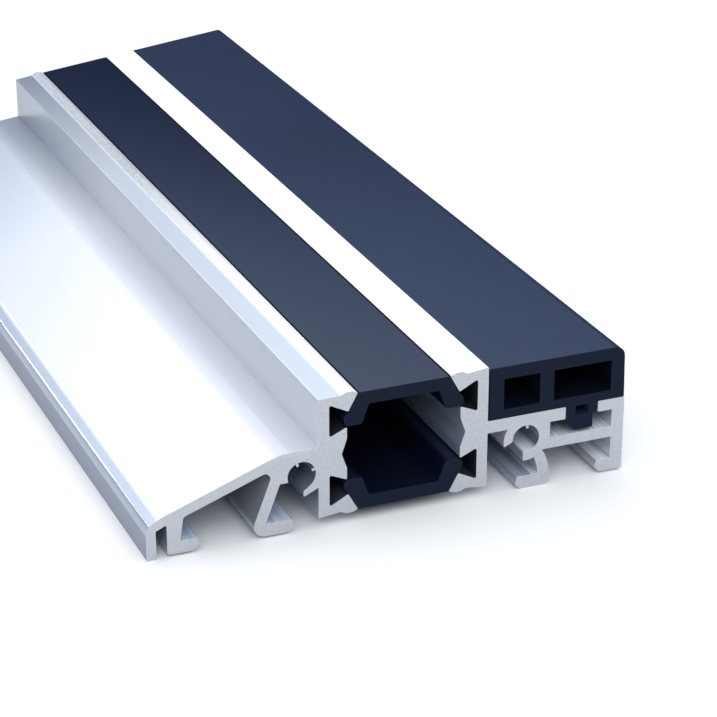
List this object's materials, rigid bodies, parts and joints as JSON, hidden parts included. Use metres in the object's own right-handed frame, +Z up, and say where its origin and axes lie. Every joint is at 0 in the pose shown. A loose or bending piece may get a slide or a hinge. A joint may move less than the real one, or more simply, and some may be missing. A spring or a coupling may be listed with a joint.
{
  "type": "door threshold profile",
  "caption": "Thermally broken door threshold length: aluminium ramp and inner profiles joined by plastic bars, with a black clip-on cover and open screw ports.",
  "frame": {"origin": "centre of the bounding box, at floor level", "axes": "+Y along the length, from the square front cut to the skewed far cut; +X from the ramp's lip to the inner side; +Z up"},
  "size_m": [0.0734, 0.172, 0.0203],
  "materials": {
    "mill_aluminium": "mill finish, satin, with sawn ends",
    "black_polyamide": "extruded, fine matt",
    "black_cover_plastic": "extruded, satin"
  },
  "bodies": {
    "root": {"ramp_profile": "mill_aluminium", "inner_profile": "mill_aluminium", "upper_insulating_bar": "black_polyamide", "lower_insulating_bar": "black_polyamide", "cover_profile": "black_cover_plastic"}
  },
  "joints": []
}
